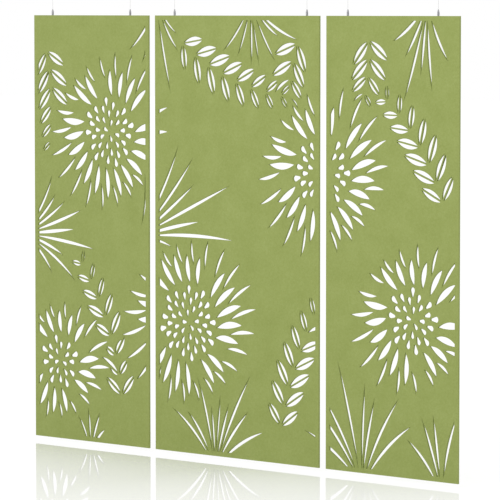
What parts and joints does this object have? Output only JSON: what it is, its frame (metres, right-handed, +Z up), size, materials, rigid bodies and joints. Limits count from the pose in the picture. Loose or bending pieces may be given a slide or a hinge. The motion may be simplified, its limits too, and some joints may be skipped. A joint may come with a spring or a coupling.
{
  "type": "hanging acoustic panel",
  "caption": "Row of tall felt acoustic panels with cut-out leaves and flower heads, hung from the ceiling on short wires with adjustable grippers; each panel swings and sways.",
  "frame": {"origin": "on the ceiling plane, midway between the two ceiling holes of the centre panel", "axes": "+X along the row to the right as seen from the front, -Y is the front, +Z is up"},
  "size_m": [3.1496, 0.024, 2.5684],
  "materials": {
    "felt": "moss green needle felt of polyester fibre, heathered",
    "wire_rope": "stranded steel wire rope",
    "nickel": "turned brass body with satin nickel plate",
    "turned_steel": "plain turned steel",
    "fitting_metal": "satin nickel plate"
  },
  "bodies": {
    "ceiling_fittings": {"ceiling_bases": "fitting_metal", "ceiling_caps": "fitting_metal"},
    "left_trunnions": {"left_trunnions": "turned_steel"},
    "left_wire_1": {"left_wire_1": "wire_rope", "left_wire_barrel_1": "turned_steel"},
    "left_gripper_1": {"left_gripper_1": "nickel", "left_clevis_pin_1": "turned_steel", "left_spring_1": "turned_steel"},
    "left_plunger_1": {"left_plunger_1": "nickel", "left_balls_1": "turned_steel"},
    "left_wire_2": {"left_wire_2": "wire_rope", "left_wire_barrel_2": "turned_steel"},
    "left_gripper_2": {"left_gripper_2": "nickel", "left_clevis_pin_2": "turned_steel", "left_spring_2": "turned_steel"},
    "left_plunger_2": {"left_plunger_2": "nickel", "left_balls_2": "turned_steel"},
    "left_panel": {"left_felt": "felt", "left_edge_sleeves": "turned_steel", "left_edge_studs": "nickel"},
    "centre_trunnions": {"centre_trunnions": "turned_steel"},
    "centre_wire_1": {"centre_wire_1": "wire_rope", "centre_wire_barrel_1": "turned_steel"},
    "centre_gripper_1": {"centre_gripper_1": "nickel", "centre_clevis_pin_1": "turned_steel", "centre_spring_1": "turned_steel"},
    "centre_plunger_1": {"centre_plunger_1": "nickel", "centre_balls_1": "turned_steel"},
    "centre_wire_2": {"centre_wire_2": "wire_rope", "centre_wire_barrel_2": "turned_steel"},
    "centre_gripper_2": {"centre_gripper_2": "nickel", "centre_clevis_pin_2": "turned_steel", "centre_spring_2": "turned_steel"},
    "centre_plunger_2": {"centre_plunger_2": "nickel", "centre_balls_2": "turned_steel"},
    "centre_panel": {"centre_felt": "felt", "centre_edge_sleeves": "turned_steel", "centre_edge_studs": "nickel"},
    "right_trunnions": {"right_trunnions": "turned_steel"},
    "right_wire_1": {"right_wire_1": "wire_rope", "right_wire_barrel_1": "turned_steel"},
    "right_gripper_1": {"right_gripper_1": "nickel", "right_clevis_pin_1": "turned_steel", "right_spring_1": "turned_steel"},
    "right_plunger_1": {"right_plunger_1": "nickel", "right_balls_1": "turned_steel"},
    "right_wire_2": {"right_wire_2": "wire_rope", "right_wire_barrel_2": "turned_steel"},
    "right_gripper_2": {"right_gripper_2": "nickel", "right_clevis_pin_2": "turned_steel", "right_spring_2": "turned_steel"},
    "right_plunger_2": {"right_plunger_2": "nickel", "right_balls_2": "turned_steel"},
    "right_panel": {"right_felt": "felt", "right_edge_sleeves": "turned_steel", "right_edge_studs": "nickel"}
  },
  "joints": [
    {"name": "left_swing", "type": "hinge", "parent": "ceiling_fittings", "child": "left_trunnions", "pos_m": [-1.1451, 0, -0.016], "axis": [1, 0, 0], "range_deg": [-15, 15]},
    {"name": "left_sway_1", "type": "hinge", "parent": "left_trunnions", "child": "left_wire_1", "pos_m": [-1.4553, 0, -0.016], "axis": [0, 1, 0], "range_deg": [-10, 10]},
    {"name": "left_height_1", "type": "slide", "parent": "left_wire_1", "child": "left_gripper_1", "axis": [0, 0, 1], "range_m": [-0.004, 0.004]},
    {"name": "left_release_1", "type": "slide", "parent": "left_gripper_1", "child": "left_plunger_1", "axis": [0, 0, 1], "range_m": [-0.002, 0], "stiffness_N_per_m": 600, "springref_m": 0.002, "deforming": ["left_spring_1"]},
    {"name": "left_sway_2", "type": "hinge", "parent": "left_trunnions", "child": "left_wire_2", "pos_m": [-0.8349, 0, -0.016], "axis": [0, 1, 0], "range_deg": [-10, 10]},
    {"name": "left_height_2", "type": "slide", "parent": "left_wire_2", "child": "left_gripper_2", "axis": [0, 0, 1], "range_m": [-0.004, 0.004]},
    {"name": "left_release_2", "type": "slide", "parent": "left_gripper_2", "child": "left_plunger_2", "axis": [0, 0, 1], "range_m": [-0.002, 0], "stiffness_N_per_m": 600, "springref_m": 0.002, "deforming": ["left_spring_2"]},
    {"name": "left_level", "type": "hinge", "parent": "left_gripper_1", "child": "left_panel", "pos_m": [-1.4553, 0, -0.1221], "axis": [0, 1, 0], "range_deg": [-10, 10]},
    {"name": "centre_swing", "type": "hinge", "parent": "ceiling_fittings", "child": "centre_trunnions", "pos_m": [0, 0, -0.016], "axis": [1, 0, 0], "range_deg": [-15, 15]},
    {"name": "centre_sway_1", "type": "hinge", "parent": "centre_trunnions", "child": "centre_wire_1", "pos_m": [-0.4901, 0, -0.016], "axis": [0, 1, 0], "range_deg": [-10, 10]},
    {"name": "centre_height_1", "type": "slide", "parent": "centre_wire_1", "child": "centre_gripper_1", "axis": [0, 0, 1], "range_m": [-0.004, 0.004]},
    {"name": "centre_release_1", "type": "slide", "parent": "centre_gripper_1", "child": "centre_plunger_1", "axis": [0, 0, 1], "range_m": [-0.002, 0], "stiffness_N_per_m": 600, "springref_m": 0.002, "deforming": ["centre_spring_1"]},
    {"name": "centre_sway_2", "type": "hinge", "parent": "centre_trunnions", "child": "centre_wire_2", "pos_m": [0.4901, 0, -0.016], "axis": [0, 1, 0], "range_deg": [-10, 10]},
    {"name": "centre_height_2", "type": "slide", "parent": "centre_wire_2", "child": "centre_gripper_2", "axis": [0, 0, 1], "range_m": [-0.004, 0.004]},
    {"name": "centre_release_2", "type": "slide", "parent": "centre_gripper_2", "child": "centre_plunger_2", "axis": [0, 0, 1], "range_m": [-0.002, 0], "stiffness_N_per_m": 600, "springref_m": 0.002, "deforming": ["centre_spring_2"]},
    {"name": "centre_level", "type": "hinge", "parent": "centre_gripper_1", "child": "centre_panel", "pos_m": [-0.4901, 0, -0.1221], "axis": [0, 1, 0], "range_deg": [-10, 10]},
    {"name": "right_swing", "type": "hinge", "parent": "ceiling_fittings", "child": "right_trunnions", "pos_m": [1.0901, 0, -0.016], "axis": [1, 0, 0], "range_deg": [-15, 15]},
    {"name": "right_sway_1", "type": "hinge", "parent": "right_trunnions", "child": "right_wire_1", "pos_m": [0.7799, 0, -0.016], "axis": [0, 1, 0], "range_deg": [-10, 10]},
    {"name": "right_height_1", "type": "slide", "parent": "right_wire_1", "child": "right_gripper_1", "axis": [0, 0, 1], "range_m": [-0.004, 0.004]},
    {"name": "right_release_1", "type": "slide", "parent": "right_gripper_1", "child": "right_plunger_1", "axis": [0, 0, 1], "range_m": [-0.002, 0], "stiffness_N_per_m": 600, "springref_m": 0.002, "deforming": ["right_spring_1"]},
    {"name": "right_sway_2", "type": "hinge", "parent": "right_trunnions", "child": "right_wire_2", "pos_m": [1.4003, 0, -0.016], "axis": [0, 1, 0], "range_deg": [-10, 10]},
    {"name": "right_height_2", "type": "slide", "parent": "right_wire_2", "child": "right_gripper_2", "axis": [0, 0, 1], "range_m": [-0.004, 0.004]},
    {"name": "right_release_2", "type": "slide", "parent": "right_gripper_2", "child": "right_plunger_2", "axis": [0, 0, 1], "range_m": [-0.002, 0], "stiffness_N_per_m": 600, "springref_m": 0.002, "deforming": ["right_spring_2"]},
    {"name": "right_level", "type": "hinge", "parent": "right_gripper_1", "child": "right_panel", "pos_m": [0.7799, 0, -0.1221], "axis": [0, 1, 0], "range_deg": [-10, 10]}
  ],
  "couplings": [
    {"joint": "left_level", "follows": "left_sway_1", "ratio": -1},
    {"joint": "left_sway_2", "follows": "left_sway_1", "ratio": 1},
    {"joint": "left_height_2", "follows": "left_height_1", "ratio": 1},
    {"joint": "centre_level", "follows": "centre_sway_1", "ratio": -1},
    {"joint": "centre_sway_2", "follows": "centre_sway_1", "ratio": 1},
    {"joint": "centre_height_2", "follows": "centre_height_1", "ratio": 1},
    {"joint": "right_level", "follows": "right_sway_1", "ratio": -1},
    {"joint": "right_sway_2", "follows": "right_sway_1", "ratio": 1},
    {"joint": "right_height_2", "follows": "right_height_1", "ratio": 1}
  ]
}
